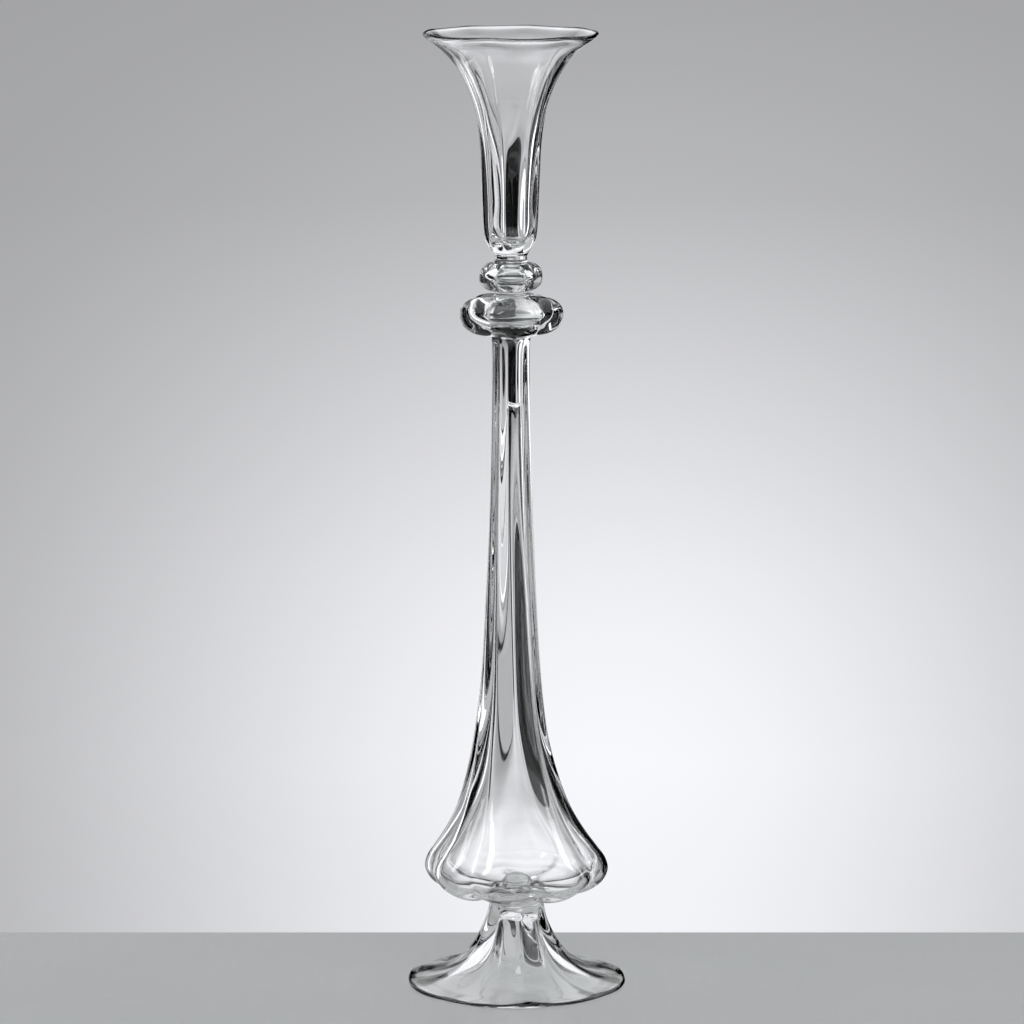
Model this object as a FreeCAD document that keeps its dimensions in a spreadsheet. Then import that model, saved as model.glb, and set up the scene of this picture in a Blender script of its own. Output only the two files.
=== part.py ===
import FreeCAD, Part
import math
import os
import Sketcher

# Tall clear glass vase on a flared foot.
# Units are millimetres, +Z is up, the table is z = 0 and the vase axis is the Z axis.
# Every fluted wall is a loft through lobed sections: (height, crest radius, flute depth).

LOBES = 8

# foot: hollow underneath, stands on the ring between its edge and the hollow
FOOT_OUT = [(0.0, 68.0, 0.8), (1.5, 69.4, 0.9), (3.2, 66.4, 1.2), (5.0, 57.0, 1.8),
            (8.4, 46.4, 2.6), (14.4, 36.4, 3.4), (22.4, 29.4, 3.8), (31.0, 24.4, 3.4),
            (40.0, 20.4, 2.4), (47.0, 18.2, 1.2), (52.0, 17.0, 0.7)]
FOOT_IN = [(0.0, 65.6, 0.7), (1.2, 60.4, 1.1), (2.6, 53.6, 1.6), (5.8, 43.6, 2.0),
           (11.4, 33.4, 1.8), (19.0, 25.0, 1.2), (27.6, 18.0, 0.6), (36.0, 12.0, 0.3),
           (42.6, 7.0, 0.2)]

# body: bell and long neck, a closed hollow
BODY_OUT = [(57.0, 31.0, 1.6), (58.8, 41.5, 2.2), (62.4, 49.0, 2.8), (67.0, 54.6, 3.2),
            (74.0, 57.8, 3.4), (80.5, 56.4, 3.4), (88.0, 51.4, 3.3), (98.0, 44.4, 3.0),
            (112.0, 36.6, 2.6), (130.0, 30.2, 2.2), (150.0, 25.2, 1.9), (175.0, 21.2, 1.9),
            (205.0, 18.5, 1.9), (246.0, 16.3, 1.85), (297.0, 14.1, 1.8), (347.0, 12.85, 1.75),
            (397.0, 12.2, 1.7), (413.0, 12.8, 1.0)]
BODY_IN = [(59.8, 32.0, 1.6), (61.7, 41.5, 2.4), (65.2, 48.0, 2.9), (69.6, 53.0, 3.2),
           (74.6, 55.2, 3.4), (80.5, 53.9, 3.4), (88.0, 48.8, 3.2), (98.0, 41.4, 2.7),
           (112.0, 32.8, 1.8), (130.0, 24.8, 1.0), (150.0, 18.6, 0.6), (175.0, 13.8, 0.3),
           (205.0, 10.8, 0.2), (246.0, 8.8, 0.2), (297.0, 6.6, 0.2), (336.0, 5.0, 0.2),
           (360.0, 3.9, 0.15), (372.0, 2.8, 0.1)]

# knops: thick walled, each with a flattened bubble inside
LARGE_OUT = [(413.0, 17.6, 0.6), (416.0, 26.4, 1.6), (420.0, 31.0, 2.4), (427.0, 33.0, 2.8),
             (432.4, 31.4, 2.4), (436.0, 26.4, 1.4), (437.8, 18.6, 0.5)]
LARGE_IN = [(420.0, 8.0, 0.2), (421.0, 14.0, 0.2), (423.4, 20.0, 0.4), (427.0, 22.6, 0.6),
            (430.4, 20.0, 0.4), (432.4, 14.0, 0.2), (433.2, 7.0, 0.2)]
SMALL_OUT = [(441.2, 13.6, 0.5), (443.4, 18.0, 1.0), (446.6, 20.6, 1.6), (450.0, 21.1, 1.8),
             (453.6, 20.2, 1.6), (456.4, 17.6, 1.0), (458.2, 13.4, 0.4)]
SMALL_IN = [(445.2, 4.4, 0.15), (446.2, 9.6, 0.2), (448.0, 13.2, 0.3), (450.0, 14.6, 0.4),
            (452.0, 13.4, 0.3), (454.0, 9.8, 0.2), (455.0, 4.4, 0.15)]

# bowl: open trumpet with a rounded lip
BOWL_OUT = [(465.0, 11.0, 0.4), (468.2, 13.6, 0.9), (472.4, 15.6, 1.6), (478.0, 16.7, 2.1),
            (497.0, 17.7, 2.5), (516.0, 18.4, 2.35), (532.0, 19.2, 2.0), (545.0, 20.7, 1.6),
            (556.0, 22.9, 1.5), (566.0, 26.6, 1.5), (576.0, 31.5, 1.5), (585.0, 38.0, 1.4),
            (592.0, 45.4, 1.2), (597.4, 52.6, 0.9), (599.9, 54.4, 0.8), (601.0, 53.6, 0.8)]
BOWL_IN = [(471.2, 5.0, 0.2), (474.0, 9.6, 0.2), (480.0, 11.7, 0.2), (497.0, 12.0, 0.2),
           (516.0, 13.0, 0.3), (532.0, 14.9, 0.5), (545.0, 17.4, 0.8), (556.0, 19.9, 1.1),
           (566.0, 23.6, 1.2), (576.0, 28.5, 1.2), (585.0, 35.0, 1.2), (592.0, 42.6, 1.1),
           (598.2, 50.8, 0.8), (601.0, 52.4, 0.8)]

# welds between the bits: (bottom, top, end radius, waist radius)
FOOT_MERESE = (52.0, 57.0, 17.0, 16.4)
KNOP_MERESE = (437.8, 441.2, 11.6, 10.0)
BOWL_MERESE = (458.2, 465.0, 11.2, 9.9)

# kick: the rounded nub that stands up from the floor of the bell
KICK_BASE, KICK_TOP, KICK_RADIUS = 59.2, 69.5, 10.0

# turn of the flutes of each bit about the axis, in degrees
TURN = {"foot": 28.0, "body": 37.5, "large_knop": 0.0, "small_knop": 0.0, "bowl": 3.5}

doc = FreeCAD.newDocument("vase")
sheet = doc.addObject("Spreadsheet::Sheet", "dims")
row_count = 0


def cell(alias, value):
    """Put one named number in the spreadsheet."""
    global row_count
    row_count += 1
    sheet.set("A%d" % row_count, alias)
    sheet.set("B%d" % row_count, str(value))
    sheet.setAlias("B%d" % row_count, alias)


def add_stations(prefix, stations):
    for i, (height, radius, depth) in enumerate(stations):
        cell("%s_height_%d" % (prefix, i), height)
        cell("%s_crest_%d" % (prefix, i), radius)
        cell("%s_flute_%d" % (prefix, i), depth)


def add_weld(prefix, weld):
    for word, value in zip(("bottom", "top", "end_radius", "waist_radius"), weld):
        cell("%s_%s" % (prefix, word), value)


def base_plane(body, role):
    for item in body.Origin.OriginFeatures:
        if item.Role == role:
            return item


def new_body(name, turn=0.0):
    body = doc.addObject("PartDesign::Body", name)
    body.Label = name
    spin = FreeCAD.Rotation(FreeCAD.Vector(0, 0, 1), turn)
    body.Placement = FreeCAD.Placement(FreeCAD.Vector(0, 0, 0), spin)
    return body


def lobed_points(radius, depth):
    """Valley points and crest points of one lobed ring."""
    half = math.pi / LOBES
    valley = radius - depth
    valleys = [FreeCAD.Vector(valley * math.cos((2 * k + 1) * half),
                              valley * math.sin((2 * k + 1) * half), 0) for k in range(LOBES)]
    crests = [FreeCAD.Vector(radius * math.cos(2 * k * half),
                             radius * math.sin(2 * k * half), 0) for k in range(LOBES)]
    return valleys, crests


def lobed_sketch(body, name, prefix, i, station):
    """A ring of eight arcs, its size and height driven by the spreadsheet."""
    height, radius, depth = station
    sketch = body.newObject("Sketcher::SketchObject", name)
    sketch.AttachmentSupport = [(base_plane(body, "XY_Plane"), "")]
    sketch.MapMode = "FlatFace"
    valleys, crests = lobed_points(radius, depth)
    for k in range(LOBES):
        arc = Part.Arc(valleys[k - 1], crests[k], valleys[k])
        sketch.addGeometry(arc, False)
    link = [Sketcher.Constraint("Coincident", k, 2, (k + 1) % LOBES, 1) for k in range(LOBES)]
    link += [Sketcher.Constraint("Equal", 0, k) for k in range(1, LOBES)]
    # the end of arc k is valley k; valleys 0 and 1 are placed, the rest mirror them
    for near, far, axis in ((1, 2, -2), (0, 3, -2), (0, 7, -1), (1, 6, -1), (2, 5, -1)):
        link.append(Sketcher.Constraint("Symmetric", near, 2, far, 2, axis))
    sketch.addConstraint(link)
    crest = "dims.%s_crest_%d" % (prefix, i)
    valley = "(%s - dims.%s_flute_%d)" % (crest, prefix, i)
    side = "sin(dims.half_lobe * 1 deg)"
    up = "cos(dims.half_lobe * 1 deg)"
    sag = "(%s - %s * %s)" % (crest, valley, up)
    chord = "(%s * %s)" % (valley, side)
    lengths = [("near_x", "DistanceX", 0, valleys[0].x, "%s * %s" % (valley, up)),
               ("near_y", "DistanceY", 0, valleys[0].y, "%s * %s" % (valley, side)),
               ("next_x", "DistanceX", 1, valleys[1].x, "%s * %s" % (valley, side)),
               ("next_y", "DistanceY", 1, valleys[1].y, "%s * %s" % (valley, up))]
    for word, kind, arc, value, formula in lengths:
        index = sketch.addConstraint(Sketcher.Constraint(kind, -1, 1, arc, 2, value))
        sketch.renameConstraint(index, word)
        sketch.setExpression("Constraints." + word, formula)
    rho = sketch.Geometry[0].Radius
    index = sketch.addConstraint(Sketcher.Constraint("Radius", 0, rho))
    sketch.renameConstraint(index, "lobe_radius")
    formula = "(%s * %s + %s * %s) / (2 * %s)" % (chord, chord, sag, sag, sag)
    sketch.setExpression("Constraints.lobe_radius", formula)
    sketch.setExpression("AttachmentOffset.Base.z", "dims.%s_height_%d" % (prefix, i))
    return sketch


def loft(body, kind, name, prefix, stations):
    rings = [lobed_sketch(body, "%s_ring_%d" % (prefix, i), prefix, i, s)
             for i, s in enumerate(stations)]
    feature = body.newObject("PartDesign::" + kind, name)
    feature.Profile = rings[0]
    feature.Sections = rings[1:]
    feature.Ruled = False
    for ring in rings:
        ring.Visibility = False
    body.Tip = feature
    return feature


def fluted(name, outside, inside):
    """One glass bit: a lobed outer loft with a lobed hollow cut into it."""
    body = new_body(name, TURN[name])
    loft(body, "AdditiveLoft", name + "_wall", name + "_out", outside)
    loft(body, "SubtractiveLoft", name + "_hollow", name + "_in", inside)
    return body


def line(sketch, a, b):
    return sketch.addGeometry(Part.LineSegment(FreeCAD.Vector(a[0], a[1], 0),
                                               FreeCAD.Vector(b[0], b[1], 0)), False)


def named(sketch, word, constraint, formula):
    index = sketch.addConstraint(constraint)
    sketch.renameConstraint(index, word)
    sketch.setExpression("Constraints." + word, formula)


def weld(name, size):
    """A short solid waist of glass, turned about the axis."""
    bottom, top, end, waist = size
    body = new_body(name)
    sketch = body.newObject("Sketcher::SketchObject", name + "_profile")
    sketch.AttachmentSupport = [(base_plane(body, "XZ_Plane"), "")]
    sketch.MapMode = "FlatFace"
    line(sketch, (0, bottom), (end, bottom))
    mid = (bottom + top) / 2
    sketch.addGeometry(Part.Arc(FreeCAD.Vector(end, bottom, 0), FreeCAD.Vector(waist, mid, 0),
                                FreeCAD.Vector(end, top, 0)), False)
    line(sketch, (end, top), (0, top))
    line(sketch, (0, top), (0, bottom))
    # an arc may be stored turned round, so its lower end is looked up
    arc_low, arc_high = (1, 2) if sketch.getPoint(1, 1).y < mid else (2, 1)
    C = Sketcher.Constraint
    sketch.addConstraint([C("Coincident", 0, 2, 1, arc_low), C("Coincident", 1, arc_high, 2, 1),
                          C("Coincident", 2, 2, 3, 1), C("Coincident", 3, 2, 0, 1),
                          C("Horizontal", 0), C("Horizontal", 2), C("PointOnObject", 3, 1, -2),
                          C("Vertical", 3), C("Equal", 0, 2)])
    named(sketch, "bottom", C("DistanceY", -1, 1, 0, 1, bottom), "dims.%s_bottom" % name)
    named(sketch, "top", C("DistanceY", -1, 1, 2, 2, top), "dims.%s_top" % name)
    named(sketch, "end_radius", C("Distance", 0, end), "dims.%s_end_radius" % name)
    half, dip = (top - bottom) / 2, end - waist
    tall = "((dims.%s_top - dims.%s_bottom) / 2)" % (name, name)
    cut = "(dims.%s_end_radius - dims.%s_waist_radius)" % (name, name)
    formula = "(%s * %s + %s * %s) / (2 * %s)" % (tall, tall, cut, cut, cut)
    named(sketch, "waist_arc", C("Radius", 1, (half * half + dip * dip) / (2 * dip)), formula)
    turned = body.newObject("PartDesign::Revolution", name + "_turned")
    turned.Profile = sketch
    turned.ReferenceAxis = (sketch, ["V_Axis"])
    turned.Angle = 360
    body.Tip = turned
    return body


def add_kick(body):
    """The rounded nub on the floor of the bell, grown out of the floor."""
    sketch = body.newObject("Sketcher::SketchObject", "kick_profile")
    sketch.AttachmentSupport = [(base_plane(body, "XZ_Plane"), "")]
    sketch.MapMode = "FlatFace"
    tall = KICK_TOP - KICK_BASE
    low = FreeCAD.Vector(KICK_RADIUS, KICK_BASE, 0)
    high = FreeCAD.Vector(0, KICK_TOP, 0)
    rho = (KICK_RADIUS ** 2 + tall ** 2) / (2 * tall)
    centre = FreeCAD.Vector(0, KICK_TOP - rho, 0)
    lean = math.asin(KICK_RADIUS / rho) / 2
    mid = centre + FreeCAD.Vector(rho * math.sin(lean), rho * math.cos(lean), 0)
    line(sketch, (0, KICK_BASE), (KICK_RADIUS, KICK_BASE))
    sketch.addGeometry(Part.Arc(low, mid, high), False)
    line(sketch, (0, KICK_TOP), (0, KICK_BASE))
    C = Sketcher.Constraint
    sketch.addConstraint([C("Coincident", 0, 2, 1, 1), C("Coincident", 1, 2, 2, 1),
                          C("Coincident", 2, 2, 0, 1), C("Horizontal", 0), C("Vertical", 2),
                          C("PointOnObject", 0, 1, -2), C("PointOnObject", 1, 3, -2)])
    named(sketch, "kick_base", C("DistanceY", -1, 1, 0, 1, KICK_BASE), "dims.kick_base")
    named(sketch, "kick_top", C("DistanceY", -1, 1, 1, 2, KICK_TOP), "dims.kick_top")
    named(sketch, "kick_radius", C("Distance", 0, KICK_RADIUS), "dims.kick_radius")
    nub = body.newObject("PartDesign::Revolution", "kick")
    nub.Profile = sketch
    nub.ReferenceAxis = (sketch, ["V_Axis"])
    nub.Angle = 360
    body.Tip = nub


cell("half_lobe", 180.0 / LOBES)
for name, stations in (("foot_out", FOOT_OUT), ("foot_in", FOOT_IN),
                       ("body_out", BODY_OUT), ("body_in", BODY_IN),
                       ("large_knop_out", LARGE_OUT), ("large_knop_in", LARGE_IN),
                       ("small_knop_out", SMALL_OUT), ("small_knop_in", SMALL_IN),
                       ("bowl_out", BOWL_OUT), ("bowl_in", BOWL_IN)):
    add_stations(name, stations)
for name, size in (("foot_merese", FOOT_MERESE), ("knop_merese", KNOP_MERESE),
                   ("bowl_merese", BOWL_MERESE)):
    add_weld(name, size)
cell("kick_base", KICK_BASE)
cell("kick_top", KICK_TOP)
cell("kick_radius", KICK_RADIUS)
doc.recompute()

bodies = [fluted("foot", FOOT_OUT, FOOT_IN),
          weld("foot_merese", FOOT_MERESE),
          fluted("body", BODY_OUT, BODY_IN),
          fluted("large_knop", LARGE_OUT, LARGE_IN),
          weld("knop_merese", KNOP_MERESE),
          fluted("small_knop", SMALL_OUT, SMALL_IN),
          weld("bowl_merese", BOWL_MERESE),
          fluted("bowl", BOWL_OUT, BOWL_IN)]
add_kick(bodies[2])
doc.recompute()

for item in doc.Objects:
    if "Invalid" in item.State or "Error" in item.State:
        raise RuntimeError("%s did not compute: %s" % (item.Label, item.State))

os.makedirs("parts", exist_ok=True)
for body in bodies:
    shape = body.Shape
    if not shape.isValid() or len(shape.Solids) != 1:
        raise RuntimeError("%s is not one valid solid" % body.Label)
    box = shape.BoundBox
    print("%-12s volume %9.0f  z %.2f to %.2f  x %.2f to %.2f" % (
        body.Label, shape.Volume, box.ZMin, box.ZMax, box.XMin, box.XMax))
    shape.exportStep("parts/%s.step" % body.Label)
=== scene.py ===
"""Looks for the tall clear glass vase: eight fused bits of fluted glass on a pale table."""
import math
from collections import namedtuple

import bmesh
import bpy
import numpy as np
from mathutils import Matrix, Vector


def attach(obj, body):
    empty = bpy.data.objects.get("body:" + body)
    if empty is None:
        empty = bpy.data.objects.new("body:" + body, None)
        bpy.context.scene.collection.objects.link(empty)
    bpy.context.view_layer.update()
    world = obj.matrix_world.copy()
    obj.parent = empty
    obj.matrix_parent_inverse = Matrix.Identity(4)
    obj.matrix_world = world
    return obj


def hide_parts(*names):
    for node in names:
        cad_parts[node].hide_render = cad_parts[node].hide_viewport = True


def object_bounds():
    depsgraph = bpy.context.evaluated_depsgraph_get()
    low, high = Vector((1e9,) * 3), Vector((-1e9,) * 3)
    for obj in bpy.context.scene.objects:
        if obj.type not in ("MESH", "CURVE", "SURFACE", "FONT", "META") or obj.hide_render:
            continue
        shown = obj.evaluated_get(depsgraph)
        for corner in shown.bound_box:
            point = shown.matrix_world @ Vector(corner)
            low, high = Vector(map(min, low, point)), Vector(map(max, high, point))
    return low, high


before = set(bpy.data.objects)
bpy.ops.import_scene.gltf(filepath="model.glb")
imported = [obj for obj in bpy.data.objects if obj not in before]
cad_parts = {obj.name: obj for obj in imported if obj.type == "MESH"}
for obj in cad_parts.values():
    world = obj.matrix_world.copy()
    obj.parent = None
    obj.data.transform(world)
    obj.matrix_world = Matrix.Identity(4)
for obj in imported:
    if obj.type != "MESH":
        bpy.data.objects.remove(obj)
cad_low, cad_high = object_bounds()

# ---------------------------------------------------------------- sizes
NOMINAL_HEIGHT = 601.0                      # millimetres, the height the outlines are drawn at
MM = (cad_high.z - cad_low.z) / NOMINAL_HEIGHT
AROUND = 288                                # mesh columns round the axis
STEP = 1.6                                  # mesh rows are about this many mm apart
NECK_STEP = 4.0                             # and this many along the neck, which bends slowly
NECK_FROM, NECK_TO = 112.0, 397.0           # heights in mm where that stretch starts and ends

# Outlines from the bottom up: (height, radius, flute depth) in mm. The outer ones end at the welds,
# the table or the lip, and the inner ones on the axis or at an opening.
FOOT_OUT = [(0.0, 68.0, 0.8), (0.6, 69.1, 0.8), (1.5, 69.4, 0.9), (2.4, 68.9, 1.0), (3.2, 66.4, 1.2),
            (5.0, 57.0, 1.8), (8.4, 46.4, 2.6), (14.4, 36.4, 3.4), (22.4, 29.4, 3.8),
            (31.0, 24.4, 3.4), (40.0, 20.4, 2.4), (47.0, 18.2, 1.2), (52.0, 17.0, 0.0)]
FOOT_IN = [(0.0, 66.8, 0.7), (0.5, 64.6, 0.8), (1.2, 60.4, 1.1), (2.6, 53.6, 1.6), (5.8, 43.6, 2.0),
           (11.4, 33.4, 1.8), (19.0, 25.0, 1.2), (27.6, 18.0, 0.6), (36.0, 12.0, 0.3), (42.6, 7.0, 0.1),
           (45.4, 3.4, 0.0), (46.2, 0.0, 0.0)]
FOOT_WELD = [(52.0, 17.0, 0.0), (53.2, 16.5, 0.0), (54.5, 16.4, 0.0), (55.8, 16.5, 0.0),
             (57.0, 17.0, 0.0)]
BODY_OUT = [(57.0, 17.0, 0.0), (56.9, 24.0, 1.7), (57.3, 32.0, 2.3), (58.9, 41.5, 2.6),
            (62.4, 49.0, 2.8), (67.0, 54.6, 3.2), (74.0, 57.8, 3.4), (80.5, 56.4, 3.4),
            (88.0, 51.4, 3.3), (98.0, 44.4, 3.0), (112.0, 36.6, 2.6), (130.0, 30.2, 2.2),
            (150.0, 25.2, 1.9), (175.0, 21.2, 1.9), (205.0, 18.5, 1.9), (246.0, 16.3, 1.85),
            (297.0, 14.1, 1.8), (347.0, 12.85, 1.75), (397.0, 12.2, 1.7), (408.0, 12.4, 1.3),
            (413.0, 12.8, 0.0)]
BODY_IN = [(69.5, 0.0, 0.0), (68.7, 4.0, 0.0), (65.6, 8.0, 0.1), (62.2, 10.8, 0.3), (60.2, 15.0, 1.0),
           (59.5, 24.0, 2.0), (59.7, 33.0, 2.4), (61.2, 41.5, 2.6), (65.2, 48.0, 2.9),
           (69.6, 53.0, 3.2), (74.6, 55.2, 3.4), (80.5, 53.9, 3.4), (88.0, 48.8, 3.2),
           (98.0, 41.4, 2.7), (112.0, 32.8, 1.8), (130.0, 24.8, 1.0), (150.0, 18.6, 0.6),
           (175.0, 13.8, 0.3), (205.0, 10.8, 0.2), (246.0, 8.8, 0.1), (297.0, 6.6, 0.0), (336.0, 5.0, 0.0),
           (360.0, 3.9, 0.0), (369.0, 2.8, 0.0), (373.0, 0.0, 0.0)]
LARGE_OUT = [(413.0, 12.8, 0.0), (413.1, 16.0, 0.75), (414.2, 22.0, 2.00), (416.0, 26.4, 3.50),
             (420.0, 31.0, 4.75), (427.0, 33.0, 5.00), (432.4, 31.4, 4.50), (436.0, 26.4, 3.00),
             (437.6, 19.4, 1.25), (437.9, 14.0, 0.1), (437.8, 11.6, 0.0)]
LARGE_IN = [(419.8, 0.0, 0.0), (420.0, 6.0, 0.0), (421.0, 14.0, 0.2), (423.4, 20.0, 0.6),
            (427.0, 22.6, 1.0), (430.4, 20.0, 0.6), (432.4, 14.0, 0.2), (433.2, 6.0, 0.0),
            (433.4, 0.0, 0.0)]
KNOP_WELD = [(437.8, 11.6, 0.0), (438.6, 10.4, 0.0), (439.5, 10.0, 0.0), (440.4, 10.4, 0.0),
             (441.2, 11.6, 0.0)]
SMALL_OUT = [(441.2, 11.6, 0.0), (441.5, 14.2, 0.96), (443.4, 18.0, 2.24), (446.6, 20.6, 3.04),
             (450.0, 21.1, 3.20), (453.6, 20.2, 2.88), (456.4, 17.6, 1.92), (457.9, 14.0, 0.80),
             (458.2, 11.2, 0.0)]
SMALL_IN = [(445.0, 0.0, 0.0), (445.2, 4.4, 0.0), (446.2, 9.6, 0.1), (448.0, 13.2, 0.3),
            (450.0, 14.6, 0.4), (452.0, 13.4, 0.3), (454.0, 9.8, 0.1), (455.0, 4.4, 0.0),
            (455.2, 0.0, 0.0)]
BOWL_WELD = [(458.2, 11.2, 0.0), (459.8, 10.2, 0.0), (461.6, 9.9, 0.0), (463.4, 10.2, 0.0),
             (465.0, 11.2, 0.0)]
BOWL_OUT = [(465.0, 11.2, 0.0), (468.2, 13.6, 0.9), (472.4, 15.6, 1.6), (478.0, 16.7, 2.1),
            (497.0, 17.7, 2.45), (516.0, 18.4, 2.15), (532.0, 19.2, 1.75), (545.0, 20.7, 1.35),
            (556.0, 22.9, 1.2), (566.0, 26.6, 1.3), (576.0, 31.5, 1.4), (585.0, 38.0, 1.4),
            (592.0, 45.4, 1.2), (596.4, 51.6, 0.9), (598.6, 53.9, 0.8), (599.9, 54.4, 0.8)]
BOWL_IN = [(470.6, 0.0, 0.0), (471.2, 5.0, 0.0), (474.0, 9.6, 0.0), (480.0, 11.7, 0.0),
           (497.0, 12.0, 0.0), (516.0, 13.0, 0.1), (532.0, 14.8, 0.4), (545.0, 17.2, 0.8),
           (556.0, 19.9, 1.1), (566.0, 23.6, 1.2), (576.0, 28.5, 1.2), (585.0, 35.0, 1.2),
           (592.0, 42.6, 1.1), (596.8, 49.0, 0.8), (599.2, 51.8, 0.8), (600.8, 53.5, 0.8)]

# How the flutes of a bit sit: how many lobes, where the first one is (degrees), how soft the valleys
# are (0 is a knife edge), how far hand work pushed them round the axis once and twice a turn (size
# and start, in radians) and how much their depth differs (share of the depth, and start).
Flutes = namedtuple("Flutes", "lobes turn soft once once_at twice twice_at vary vary_at")
EVEN = Flutes(8, 0.0, 0.22, 0.0, 0.0, 0.035, 1.1, 0.16, 0.0)
FLUTES = {
    "foot": EVEN._replace(turn=28.0),
    "large_knop": EVEN._replace(lobes=5, turn=-84.0, soft=0.2),
    "small_knop": EVEN._replace(lobes=6, turn=-90.0, soft=0.2),
    "bowl": Flutes(8, 9.5, 0.3, 0.112, -1.62, 0.029, 0.28, 0.1, 1.43),
    "foot_merese": EVEN, "knop_merese": EVEN, "bowl_merese": EVEN}
# The body was twisted a little as it was drawn out, so its flutes change on the way up.
# Each entry is (height in mm, flutes).
BODY_TWIST = [(110.0, Flutes(8, 37.5, 0.22, 0.0, -2.78, 0.035, -1.22, 0.16, -2.76)),
              (295.0, Flutes(8, 22.9, 0.104, 0.03, -2.78, 0.071, -1.22, 0.215, -2.76)),
              (385.0, Flutes(8, 20.2, 0.124, 0.07, -3.12, 0.067, -1.57, 0.34, -3.18))]
LEAN = 3.5                                  # mm the neck stands off the foot's centre
LEAN_FROM, LEAN_TO = 60.0, 170.0            # heights in mm between which it moves over
UNEVEN_FROM = 12.0                          # mm of radius from which the wall is fully uneven
# Slow unevenness of the wall: (size in mm, waves round the axis, radians per mm of height, start)
WOBBLES = ((0.10, 2, 0.013, 0.6), (0.08, 3, -0.021, 2.1), (0.05, 5, 0.047, 0.0))


# ---------------------------------------------------------------- outlines
def wall_normals(stations):
    """Unit vectors (r, z) at right angles to an outline drawn upwards, on its outer side."""
    points = np.array([(r, z) for z, r, _ in stations])
    along = np.gradient(points, axis=0)
    across = np.stack([along[:, 1], -along[:, 0]], axis=1)
    return across / np.linalg.norm(across, axis=1, keepdims=True)


def channels(stations):
    """Rows of radius, height, flute depth and the direction the flutes are pressed in from."""
    normal = wall_normals(stations)
    return np.array([(r, z, d, n[0], n[1]) for (z, r, d), n in zip(stations, normal)])


def smooth_path(rows):
    """Centripetal Catmull-Rom spline through the rows, cut into short steps."""
    first = 2 * rows[0] - rows[1]
    last = 2 * rows[-1] - rows[-2]
    ring = np.vstack([first, rows, last])
    out = []
    for i in range(1, len(ring) - 2):
        p0, p1, p2, p3 = ring[i - 1], ring[i], ring[i + 1], ring[i + 2]
        knots = [0.0]
        for a, b in ((p0, p1), (p1, p2), (p2, p3)):
            knots.append(knots[-1] + max(np.linalg.norm(b[:2] - a[:2]), 1e-6) ** 0.5)
        t0, t1, t2, t3 = knots
        in_neck = NECK_FROM <= min(p1[1], p2[1]) and max(p1[1], p2[1]) <= NECK_TO
        step = NECK_STEP if in_neck else STEP
        count = max(3, int(math.ceil(np.linalg.norm(p2[:2] - p1[:2]) / step)))
        for k in range(count):
            t = t1 + (t2 - t1) * k / count
            a1 = (t1 - t) / (t1 - t0) * p0 + (t - t0) / (t1 - t0) * p1
            a2 = (t2 - t) / (t2 - t1) * p1 + (t - t1) / (t2 - t1) * p2
            a3 = (t3 - t) / (t3 - t2) * p2 + (t - t2) / (t3 - t2) * p3
            b1 = (t2 - t) / (t2 - t0) * a1 + (t - t0) / (t2 - t0) * a2
            b2 = (t3 - t) / (t3 - t1) * a2 + (t - t1) / (t3 - t1) * a3
            out.append((t2 - t) / (t2 - t1) * b1 + (t - t1) / (t2 - t1) * b2)
    out.append(rows[-1])
    return np.array(out)


def lobe_shape(angle, lobes, soft):
    """0 on the crest of a lobe and 1 in the valley between two lobes."""
    bulge = np.sqrt(np.cos(angle * lobes / 2) ** 2 + soft ** 2)
    top = math.sqrt(1 + soft ** 2)
    return (top - bulge) / (top - soft)


def pressed_in(angle, flutes):
    """How far the wall is pressed in all round the axis, as a share of the flute depth."""
    uneven = (angle + flutes.once * np.sin(angle + flutes.once_at)
              + flutes.twice * np.sin(2 * angle + flutes.twice_at))
    deeper = 1 + flutes.vary * np.sin(3 * angle + flutes.vary_at)
    return lobe_shape(uneven - math.radians(flutes.turn), flutes.lobes, flutes.soft) * deeper


def flutes_at(name, height):
    """The flutes of a bit at a height. Only the body's change on the way up."""
    if name != "body":
        return FLUTES[name]
    heights = [at for at, _ in BODY_TWIST]
    return Flutes(*(np.interp(height, heights, values) for values in zip(*(f for _, f in BODY_TWIST))))


def ease(value, start, end):
    """0 up to the start and 1 from the end on, with a smooth change between them."""
    t = np.clip((value - start) / (end - start), 0, 1)
    return t * t * (3 - 2 * t)


def hand_wobble(angle, height):
    """Slow unevenness of hand-blown glass, in mm, along the wall's normal."""
    return sum(size * np.sin(waves * angle + climb * height + start)
               for size, waves, climb, start in WOBBLES)


def rings(path, name):
    """Points of every mesh row: an array of rows by columns by xyz, in metres."""
    angle = np.linspace(0, 2 * math.pi, AROUND, endpoint=False)
    grid = np.zeros((len(path), AROUND, 3))
    for row, (r, z, flute, n_r, n_z) in zip(grid, path):
        size = math.hypot(n_r, n_z) or 1.0  # the spline blends the normals, so they shrink
        free = float(ease(r, 0.0, UNEVEN_FROM)) * (1.0 if flute > 0 else 0.0)
        push = -flute * pressed_in(angle, flutes_at(name, z))
        push += hand_wobble(angle, z) * free * min(1.0, flute)
        radius = r + push * n_r / size
        up = z + push * n_z / size
        lean = LEAN * float(ease(z, LEAN_FROM, LEAN_TO))
        row[:, 0] = radius * np.cos(angle) - lean
        row[:, 1] = radius * np.sin(angle)
        row[:, 2] = np.maximum(up, 0.0)     # the foot's edge stays above the table
    return grid * MM


# ---------------------------------------------------------------- meshes
GLASS, SEAM = 0, 1                          # material slots of every glass piece


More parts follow.
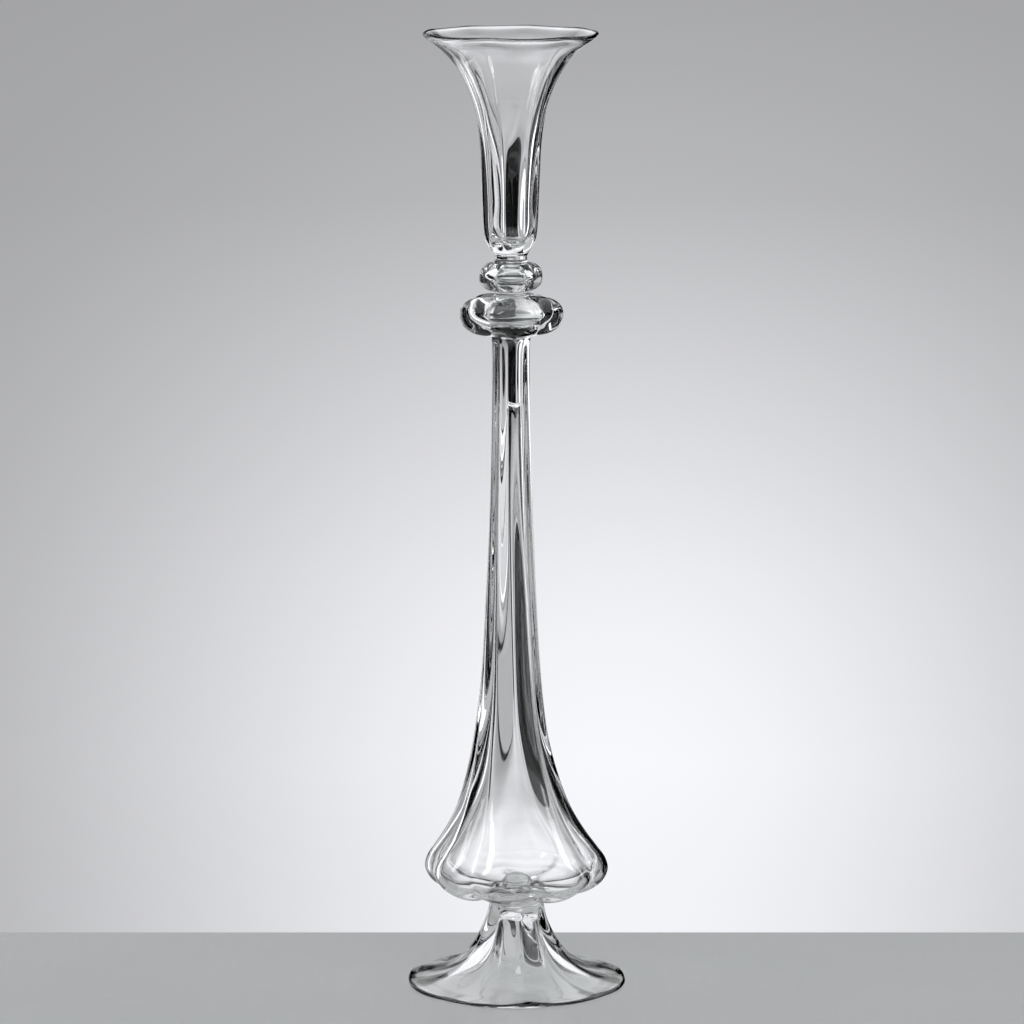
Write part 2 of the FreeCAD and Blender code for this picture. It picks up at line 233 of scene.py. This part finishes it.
def add_skin(bm, grid, outward, start_closed=False, end_closed=False):
    """Quads between the rows. A row that lies on the axis becomes a single vertex."""
    rows = []
    for i, ring in enumerate(grid):
        if (i == 0 and start_closed) or (i == len(grid) - 1 and end_closed):
            rows.append([bm.verts.new(ring.mean(axis=0))] * AROUND)
        else:
            rows.append([bm.verts.new(p) for p in ring])
    for low, high in zip(rows, rows[1:]):
        for k in range(AROUND):
            j = (k + 1) % AROUND
            corners = [low[k], low[j], high[j], high[k]]
            if not outward:
                corners.reverse()
            corners = list(dict.fromkeys(corners))
            face = bm.faces.new(corners)
            face.smooth = True
            face.material_index = GLASS
    return rows


def add_cap(bm, ring, facing_up):
    """The flat face where a bit is welded to the next one."""
    corners = list(ring)
    if not facing_up:
        corners.reverse()
    face = bm.faces.new(corners)
    face.material_index = SEAM


def finish_piece(bm, name, material, seam):
    """The mesh as an object in the scene, with glass on its skins and a seam at its welds."""
    mesh = bpy.data.meshes.new(name)
    bm.to_mesh(mesh)
    bm.free()
    mesh.materials.append(material)
    mesh.materials.append(seam)
    piece = bpy.data.objects.new(name, mesh)
    bpy.context.scene.collection.objects.link(piece)
    piece.visible_shadow = False            # clear glass lets the light through to the table
    return piece


def middle_piece(name, stations, material, seam, hollow=None):
    """A bit with a weld at each end and, for some, a sealed hollow inside."""
    bm = bmesh.new()
    skin = add_skin(bm, rings(smooth_path(channels(stations)), name), True)
    add_cap(bm, skin[0], False)
    add_cap(bm, skin[-1], True)
    if hollow:
        path = smooth_path(channels(hollow))
        add_skin(bm, rings(path, name), False, start_closed=True, end_closed=True)
    return finish_piece(bm, name + "_glass", material, seam)


def bowl_piece(material, seam):
    """Welded at the bottom, and one skin from there over the lip and down to the hollow's floor."""
    bm = bmesh.new()
    rows = np.vstack([channels(BOWL_OUT), channels(BOWL_IN)[::-1]])
    skin = add_skin(bm, rings(smooth_path(rows), "bowl"), True, end_closed=True)
    add_cap(bm, skin[0], False)
    return finish_piece(bm, "bowl_glass", material, seam)


def foot_piece(material, seam):
    """Welded at the top, and one skin from there round the edge and up to the hollow's crown."""
    bm = bmesh.new()
    rows = np.vstack([channels(FOOT_OUT)[::-1], channels(FOOT_IN)])
    skin = add_skin(bm, rings(smooth_path(rows), "foot"), False, end_closed=True)
    add_cap(bm, skin[0], True)
    return finish_piece(bm, "foot_glass", material, seam)


# ---------------------------------------------------------------- materials
GLASS_IOR = 1.52
DRAWN_OUT = 0.12                            # scale of the striae along the axis, against across it
STRIAE_HEIGHT = 0.0006                      # metres


class Nodes:
    """A short way to build a node tree."""

    def __init__(self, tree):
        self.tree = tree
        tree.nodes.clear()

    def add(self, kind, **settings):
        node = self.tree.nodes.new("ShaderNode" + kind)
        inputs = settings.pop("inputs", {})
        for key, value in settings.items():
            setattr(node, key, value)
        for key, value in inputs.items():
            if isinstance(value, bpy.types.NodeSocket):
                self.tree.links.new(value, node.inputs[key])
            else:
                node.inputs[key].default_value = value
        return node

    def math(self, operation, *values):
        return self.add("Math", operation=operation, inputs=dict(enumerate(values))).outputs[0]

    def ramp(self, factor, stops, mode="EASE"):
        node = self.add("ValToRGB", inputs={"Fac": factor})
        node.color_ramp.interpolation = mode
        marks = node.color_ramp.elements
        while len(marks) > 1:
            marks.remove(marks[-1])
        marks[0].position, marks[0].color = stops[0][0], tuple(stops[0][1]) + (1,)
        for place, colour in stops[1:]:
            mark = marks.new(place)
            mark.color = tuple(colour) + (1,)
        return node.outputs["Color"]


def glass(name, clear, tint):
    """Clear blown glass: faint tint in patches, drawn-out striae and a fire-polished skin."""
    material = bpy.data.materials.new(name)
    material.use_nodes = True
    n = Nodes(material.node_tree)
    place = n.add("TexCoord").outputs["Object"]
    drawn = n.add("Mapping", inputs={"Vector": place, "Scale": (1.0, 1.0, DRAWN_OUT)}).outputs[0]
    cloud = n.add("TexNoise", inputs={"Vector": place, "Scale": 18.0, "Detail": 2.0}).outputs[0]
    colour = n.ramp(cloud, [(0.35, clear), (0.7, tint)])
    striae = n.add("TexNoise", inputs={"Vector": drawn, "Scale": 160.0, "Detail": 1.0}).outputs[0]
    bump = n.add("Bump", inputs={"Strength": 0.02, "Distance": STRIAE_HEIGHT, "Height": striae})
    shader = n.add("BsdfPrincipled", inputs={
        "Base Color": colour, "Roughness": 0.0, "IOR": GLASS_IOR, "Transmission Weight": 1.0,
        "Normal": bump.outputs[0]})
    n.add("OutputMaterial", inputs={"Surface": shader.outputs[0]})
    return material


def weld_seam():
    """Where two bits are fused the glass runs on, so the face between them shows nothing."""
    material = bpy.data.materials.new("fused_seam")
    material.use_nodes = True
    n = Nodes(material.node_tree)
    through = n.add("BsdfTransparent")
    n.add("OutputMaterial", inputs={"Surface": through.outputs[0]})
    return material


def table_top():
    """Pale grey satin laminate with a very fine mottle."""
    material = bpy.data.materials.new("table_top")
    material.use_nodes = True
    n = Nodes(material.node_tree)
    place = n.add("TexCoord").outputs["Object"]
    broad = n.add("TexNoise", inputs={"Vector": place, "Scale": 3.0, "Detail": 3.0}).outputs[0]
    fine = n.add("TexNoise", inputs={"Vector": place, "Scale": 240.0, "Detail": 2.0}).outputs[0]
    mottle = n.math("MULTIPLY_ADD", fine, 0.25, broad)
    colour = n.ramp(mottle, [(0.3, (0.41, 0.422, 0.414)), (0.9, (0.445, 0.455, 0.446))])
    gloss = n.ramp(fine, [(0.3, (0.34, 0.34, 0.34)), (0.7, (0.42, 0.42, 0.42))])
    shader = n.add("BsdfPrincipled", inputs={
        "Base Color": colour, "Roughness": gloss, "Specular IOR Level": 0.35})
    n.add("OutputMaterial", inputs={"Surface": shader.outputs[0]})
    return material


# ---------------------------------------------------------------- stage
TABLE_BACK = 0.1215                         # metres: the table ends this far behind the vase
TABLE_HALF_WIDTH, TABLE_FRONT, TABLE_THICK = 1.4, -1.6, 0.03
TABLE_GAP = 0.0001                          # the top is this far under the foot
TABLE_BEVEL = 0.0008                        # metres taken off its edges


def build_table():
    """A slab with slightly rounded edges. It is part of the stage and not of the vase."""
    bm = bmesh.new()
    top = cad_low.z - TABLE_GAP
    bmesh.ops.create_cube(bm, size=1.0)
    for v in bm.verts:
        v.co.x *= 2 * TABLE_HALF_WIDTH
        v.co.y = TABLE_BACK if v.co.y > 0 else TABLE_FRONT
        v.co.z = top if v.co.z > 0 else top - TABLE_THICK
    bmesh.ops.bevel(bm, geom=list(bm.edges), offset=TABLE_BEVEL, segments=2, affect="EDGES")
    mesh = bpy.data.meshes.new("stage_table")
    bm.to_mesh(mesh)
    bm.free()
    mesh.materials.append(table_top())
    table = bpy.data.objects.new("stage_table", mesh)
    bpy.context.scene.collection.objects.link(table)


# What stands round the vase: (middle, half width) of each, in degrees of azimuth from straight behind it.
PAPER = (0.0, 9.7)
SIDE_PAPERS = ((-45.5, 8.5), (-90.0, 9.0), (90.0, 9.0), (135.0, 9.0))
GREY_PAPER = (-19.0, 8.0)
WHITE_STRIPS = ((-32.4, 5.3), (66.0, 5.0))
BAND_EDGE = 0.4                             # degrees over which an edge fades, each way
PAPER_TINT = (0.982, 0.99, 1.02)
DARK_ROOM, FLOOR_LIGHT, CEILING_LIGHT = 0.003, 0.4, 1.0
SIDE_LIGHT, GREY_LIGHT, STRIP_LIGHT = 0.8, 0.5, 1.6
PAINTED_GLOW_MIDDLE, PAINTED_GLOW_WIDTH = 1.2, 6.2          # the painted pool of light low on PAPER, in degrees

# Brightness by height, as (degrees above the horizon, light).
PAPER_RISE = ((-40, 0.30), (-15, 0.36), (-4, 0.36), (0, 0.30), (5, 0.16), (7, 0.0))
# The stops below give the painted pool of light, which is added onto the pale paper behind the vase.
PAINTED_GLOW_RISE = ((-30, 0.40), (-14, 0.56), (-12.5, 0.60), (-10.8, 0.53), (-8.6, 0.34), (-6.3, 0.13),
             (-4, 0.04), (0, 0.0))
SIDE_RISE = ((-40, 0.55), (-12, SIDE_LIGHT), (-4, SIDE_LIGHT), (5, 0.5), (7, 0.0))
GREY_RISE = ((-50, 0.35), (-12, GREY_LIGHT), (25, GREY_LIGHT), (27, 0.0))
STRIP_RISE = ((-60, 0.0), (-50, STRIP_LIGHT), (25, STRIP_LIGHT), (27, 0.0))
ROOM_RISE = ((-56, FLOOR_LIGHT), (-50, DARK_ROOM), (20, DARK_ROOM), (24, CEILING_LIGHT))


def build_world():
    """A dark room with a pale floor and ceiling, sweeps of pale and grey paper and two white strips, and a
    pool of light painted low on the paper behind the vase.
    """
    world = bpy.data.worlds.new("studio")
    bpy.context.scene.world = world
    world.use_nodes = True
    n = Nodes(world.node_tree)
    way = n.add("SeparateXYZ", inputs={0: n.add("TexCoord").outputs["Generated"]}).outputs
    to_degrees = 180 / math.pi
    azimuth = n.math("MULTIPLY", n.math("ARCTAN2", way[0], way[1]), to_degrees)
    height = n.math("MULTIPLY", n.math("ARCSINE", way[2]), to_degrees)
    level = n.math("DIVIDE", n.math("ADD", height, 90.0), 180.0)

    def rise(stops):
        marks = [((degrees + 90.0) / 180.0, [light * part for part in PAPER_TINT])
                 for degrees, light in stops]
        return n.ramp(level, marks, "LINEAR")

    def band(middle, half):
        """1 inside the band, 0 outside, with a slightly soft edge."""
        off = n.math("ABSOLUTE", n.math("SUBTRACT", azimuth, middle))
        return n.add("MapRange", interpolation_type="SMOOTHSTEP", inputs={
            "Value": off, "From Min": half - BAND_EDGE, "From Max": half + BAND_EDGE,
            "To Min": 1.0, "To Max": 0.0}).outputs[0]

    def mix(factor, low, high, blend):
        return n.add("MixRGB", blend_type=blend, inputs={
            "Fac": factor, "Color1": low, "Color2": high}).outputs[0]

    # A pool of light painted low on the pale paper behind the vase, added to the paper's own brightness.
    bell = n.math("DIVIDE", n.math("SUBTRACT", azimuth, PAINTED_GLOW_MIDDLE), PAINTED_GLOW_WIDTH)
    painted_glow = n.math("EXPONENT", n.math("MULTIPLY", n.math("MULTIPLY", bell, bell), -1.0))
    paper = mix(painted_glow, rise(PAPER_RISE), rise(PAINTED_GLOW_RISE), "ADD")
    side, grey, strip = rise(SIDE_RISE), rise(GREY_RISE), rise(STRIP_RISE)
    lit = [(PAPER, paper)] + [(place, side) for place in SIDE_PAPERS] + [(GREY_PAPER, grey)]
    lit += [(place, strip) for place in WHITE_STRIPS]
    room = rise(ROOM_RISE)
    for place, light in lit:
        room = mix(band(*place), room, light, "LIGHTEN")
    sky = n.add("Background", inputs={"Color": room, "Strength": 1.0})
    n.add("OutputWorld", inputs={"Surface": sky.outputs[0]})


def softbox(name, place, aim, width, height, power):
    """A rectangular lamp that looks at a point."""
    data = bpy.data.lights.new(name, "AREA")
    data.shape = "RECTANGLE"
    data.size, data.size_y = width, height
    data.energy = power
    light = bpy.data.objects.new(name, data)
    light.location = place
    light.rotation_euler = (Vector(aim) - Vector(place)).to_track_quat("-Z", "Y").to_euler()
    bpy.context.scene.collection.objects.link(light)


# Softboxes: name, place, width and height in metres, and power in watts.
SOFTBOXES = (("left_strip", (-1.9, -0.5, 1.7), 0.5, 1.2, 8),
             ("right_strip", (2.0, 0.1, 1.6), 0.4, 1.2, 6))


def build_lights():
    """Two softboxes that look at the middle of the vase from its sides."""
    middle = (0, 0, (cad_low.z + cad_high.z) / 2)
    for name, place, width, height, power in SOFTBOXES:
        softbox(name, place, middle, width, height, power)


LENS, FILM_WIDTH, SIGHT = 179.3, 36.0, 50.0  # mm, mm and metres
CAMERA_PLACE = (-0.0029, -3.138, 0.8466)    # metres
LOOK_DOWN = 9.853                           # degrees under the horizon


def build_camera():
    """The photographer stood well back and looked down a little on the vase."""
    data = bpy.data.cameras.new("camera")
    data.lens, data.sensor_width = LENS, FILM_WIDTH
    data.clip_end = SIGHT
    camera = bpy.data.objects.new("camera", data)
    camera.location = CAMERA_PLACE
    camera.rotation_euler = (math.radians(90 - LOOK_DOWN), 0, 0)
    bpy.context.scene.collection.objects.link(camera)
    bpy.context.scene.camera = camera


# ---------------------------------------------------------------- build
LIGHT_BOUNCES = 32                          # light crosses many walls of glass


def build_vase():
    """Every piece takes the place of its CAD node and rides on the one body."""
    seam = weld_seam()
    clear = glass("clear_glass", (1.0, 1.0, 1.0), (0.985, 0.995, 0.99))
    thick = glass("thick_glass", (0.99, 0.997, 0.992), (0.965, 0.985, 0.972))
    pieces = {"foot": (foot_piece(clear, seam), "foot_glass"),
              "bowl": (bowl_piece(clear, seam), "bowl_glass")}
    for name, outside, hollow, material, slot in (
            ("body", BODY_OUT, BODY_IN, clear, "body_glass"),
            ("large_knop", LARGE_OUT, LARGE_IN, thick, "knop_glass"),
            ("small_knop", SMALL_OUT, SMALL_IN, thick, "knop_glass"),
            ("foot_merese", FOOT_WELD, None, thick, "weld_glass"),
            ("knop_merese", KNOP_WELD, None, thick, "weld_glass"),
            ("bowl_merese", BOWL_WELD, None, thick, "weld_glass")):
        pieces[name] = (middle_piece(name, outside, material, seam, hollow), slot)
    for node, (piece, slot) in pieces.items():
        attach(piece, "root")
        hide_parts(node)


def settings():
    """Plain colours, and light that can cross every wall of glass in its way."""
    scene = bpy.context.scene
    scene.view_settings.view_transform = "Standard"
    scene.cycles.denoising_input_passes = "RGB_ALBEDO"  # the normals behind glass are only noise
    scene.cycles.max_bounces = LIGHT_BOUNCES
    scene.cycles.transmission_bounces = LIGHT_BOUNCES
    scene.cycles.transparent_max_bounces = LIGHT_BOUNCES


build_vase()
build_table()
build_world()
build_lights()
build_camera()
settings()
